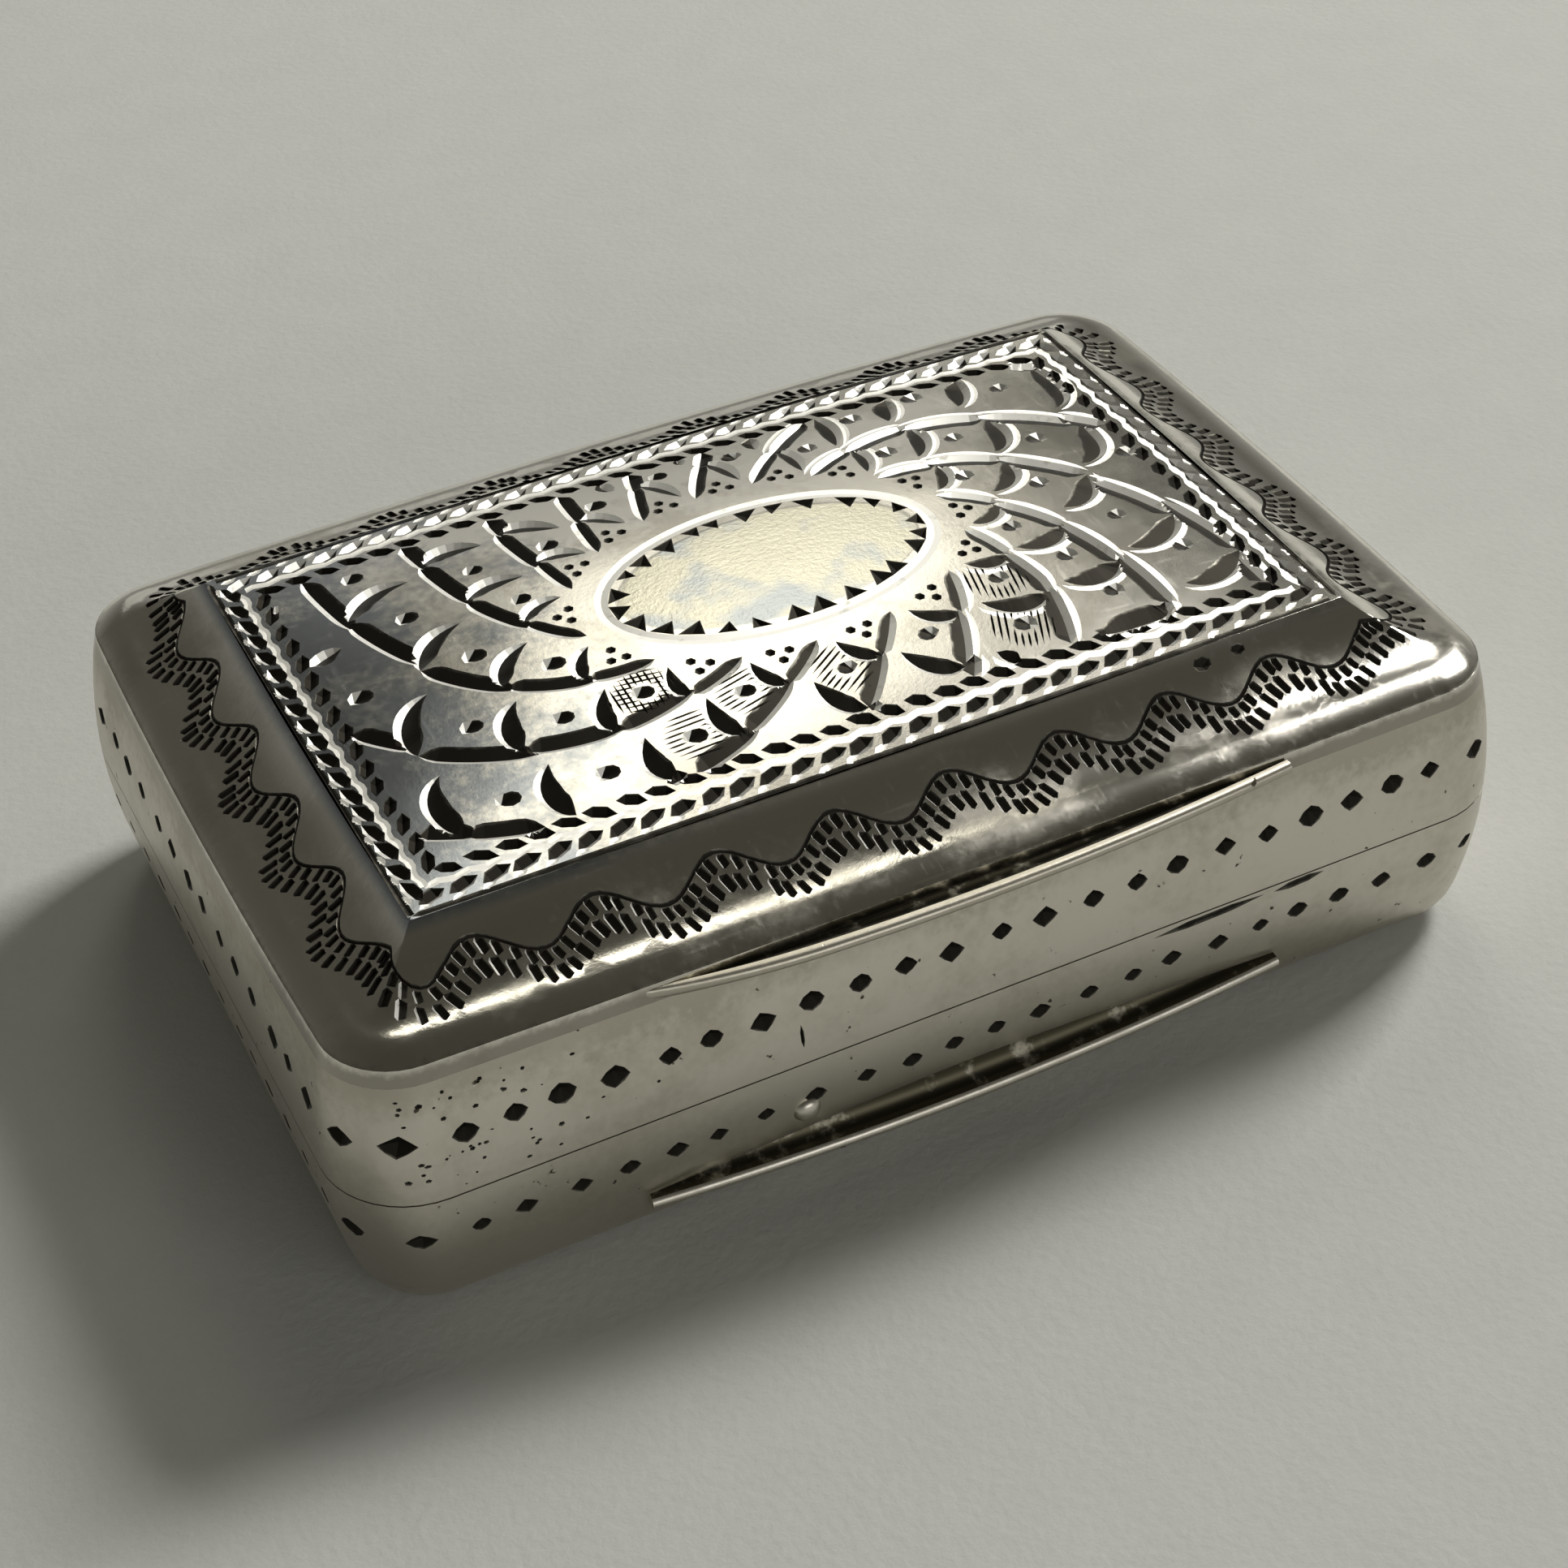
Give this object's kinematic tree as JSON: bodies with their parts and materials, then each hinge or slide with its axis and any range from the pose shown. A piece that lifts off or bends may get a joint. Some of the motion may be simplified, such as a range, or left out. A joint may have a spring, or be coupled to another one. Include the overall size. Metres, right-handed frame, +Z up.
{
  "type": "silver vinaigrette",
  "caption": "Small oblong silver box with a scale-engraved hinged lid, bowed finger lips, and a gilt pierced grille hinged over a sponge that holds aromatic vinegar.",
  "frame": {"origin": "centre of the flat underside that the box rests on, midway along and across the plan of the lid's rim", "axes": "+X along the box to the right as seen from the finger lips, +Y from the finger lips back to the hinge, +Z up out of the lid"},
  "size_m": [0.0362, 0.0259, 0.0115],
  "materials": {
    "silver": "worn, tarnished sterling silver with engraving",
    "gilt": "parcel gilt silver, soft sheen",
    "sponge": "dry natural sponge"
  },
  "bodies": {
    "base": {"base_wall": "silver", "base_plate": "silver", "base_lip": "silver", "base_bezel": "gilt", "base_hinge_bearer": "gilt", "base_knuckle_left": "silver", "base_knuckle_middle": "silver", "base_knuckle_right": "silver", "lid_hinge_pin": "silver", "grille_ledge": "gilt", "grille_bracket_left": "gilt", "grille_bracket_right": "gilt", "grille_hinge_pin": "gilt", "sponge": "sponge"},
    "lid": {"lid_wall": "silver", "lid_plate": "silver", "lid_lip": "silver", "lid_hinge_bearer": "gilt", "lid_knuckle_left": "silver", "lid_knuckle_right": "silver"},
    "grille": {"grille_plate": "gilt", "grille_knuckle": "gilt", "grille_tab": "gilt"}
  },
  "joints": [
    {"name": "lid_hinge", "type": "hinge", "parent": "base", "child": "lid", "pos_m": [0, 0.01245, 0.00492], "axis": [-1, 0, 0], "range_deg": [0, 105]},
    {"name": "grille_hinge", "type": "hinge", "parent": "base", "child": "grille", "pos_m": [0, 0.01003, 0.0043], "axis": [-1, 0, 0], "range_deg": [0, 84]}
  ],
  "couplings": [
    {"joint": "grille_hinge", "follows": "lid_hinge", "ratio": 0.8}
  ]
}
